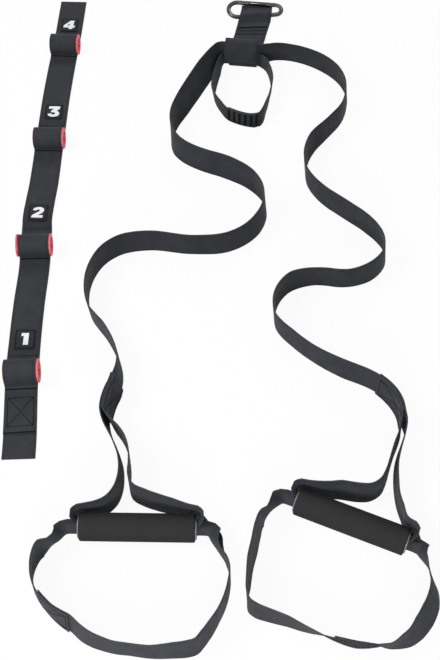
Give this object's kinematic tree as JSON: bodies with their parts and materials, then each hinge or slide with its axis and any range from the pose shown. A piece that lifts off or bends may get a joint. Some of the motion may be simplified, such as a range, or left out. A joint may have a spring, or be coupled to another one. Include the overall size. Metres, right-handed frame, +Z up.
{
  "type": "door resistance trainer",
  "caption": "Webbing trainer with foam grips, foot loops and a clip, laid flat beside a numbered door strap with red tubes to clip on to.",
  "frame": {"origin": "middle of the laid-out set's footprint, on the floor it lies on", "axes": "+Y from the foot loops to the clip, +X to the right as the picture shows it, +Z up"},
  "size_m": [0.506, 1.0588, 0.0463],
  "materials": {
    "door_strap": "black woven nylon webbing with stitched rows",
    "webbing": "black woven nylon webbing with a faint sheen",
    "foot_loop": "dark woven nylon webbing, a little greyer",
    "number_patch": "black label cloth with a white printed number",
    "red_tube": "red moulded plastic",
    "grip_foam": "matt black closed-cell foam",
    "grip_tube": "grey plastic tube",
    "carabiner": "gunmetal-finished bent steel wire"
  },
  "bodies": {
    "root": {"door_strap_base": "door_strap", "door_strap_loops": "door_strap", "number_patch_1": "number_patch", "number_patch_2": "number_patch", "number_patch_3": "number_patch", "number_patch_4": "number_patch", "main_strap": "webbing", "handle_strap_left": "webbing", "handle_strap_right": "webbing", "anchor_sleeve": "webbing", "locking_loop": "webbing", "anchor_strap": "webbing"},
    "carabiner": {"carabiner_body": "carabiner", "gate_pin": "carabiner"},
    "gate": {"carabiner_gate": "carabiner"},
    "grip_left": {"grip_foam_left": "grip_foam", "grip_tube_left": "grip_tube"},
    "grip_right": {"grip_foam_right": "grip_foam", "grip_tube_right": "grip_tube"},
    "foot_loop_left": {"foot_loop_left": "foot_loop"},
    "foot_loop_right": {"foot_loop_right": "foot_loop"},
    "tube_1": {"red_tube_1": "red_tube"},
    "tube_2": {"red_tube_2": "red_tube"},
    "tube_3": {"red_tube_3": "red_tube"},
    "tube_4": {"red_tube_4": "red_tube"}
  },
  "joints": [
    {"name": "carabiner_swing", "type": "hinge", "parent": "root", "child": "carabiner", "pos_m": [0.0718, 0.49, 0.0055], "axis": [0.9954, 0.0958, 0], "range_deg": [0, 145]},
    {"name": "gate_push", "type": "hinge", "parent": "carabiner", "child": "gate", "pos_m": [0.10012, 0.51072, 0.00957], "axis": [0.0212, -0.2205, 0.9751], "range_deg": [0, 20], "stiffness_Nm_per_rad": 0.05},
    {"name": "grip_left_spin", "type": "hinge", "parent": "root", "child": "grip_left", "pos_m": [-0.0764, -0.3863, 0.016], "axis": [0.9999, -0.0157, 0], "continuous": true},
    {"name": "foot_loop_left_swing", "type": "hinge", "parent": "root", "child": "foot_loop_left", "pos_m": [-0.0764, -0.3863, 0.016], "axis": [-0.9999, 0.0157, 0], "range_deg": [0, 150]},
    {"name": "grip_right_spin", "type": "hinge", "parent": "root", "child": "grip_right", "pos_m": [0.1618, -0.3788, 0.016], "axis": [0.9212, -0.3891, 0], "continuous": true},
    {"name": "foot_loop_right_swing", "type": "hinge", "parent": "root", "child": "foot_loop_right", "pos_m": [0.1618, -0.3788, 0.016], "axis": [-0.9212, 0.3891, 0], "range_deg": [0, 150]},
    {"name": "tube_1_spin", "type": "hinge", "parent": "root", "child": "tube_1", "pos_m": [-0.22762, -0.1793, 0.0153], "axis": [0.9987, 0.0509, 0], "continuous": true},
    {"name": "tube_2_spin", "type": "hinge", "parent": "root", "child": "tube_2", "pos_m": [-0.22959, 0.0187, 0.0153], "axis": [0.9996, 0.0286, 0], "continuous": true},
    {"name": "tube_3_spin", "type": "hinge", "parent": "root", "child": "tube_3", "pos_m": [-0.22837, 0.2147, 0.0153], "axis": [0.9999, -0.0151, 0], "continuous": true},
    {"name": "tube_4_spin", "type": "hinge", "parent": "root", "child": "tube_4", "pos_m": [-0.22168, 0.4127, 0.0153], "axis": [0.9985, -0.0549, 0], "continuous": true}
  ]
}
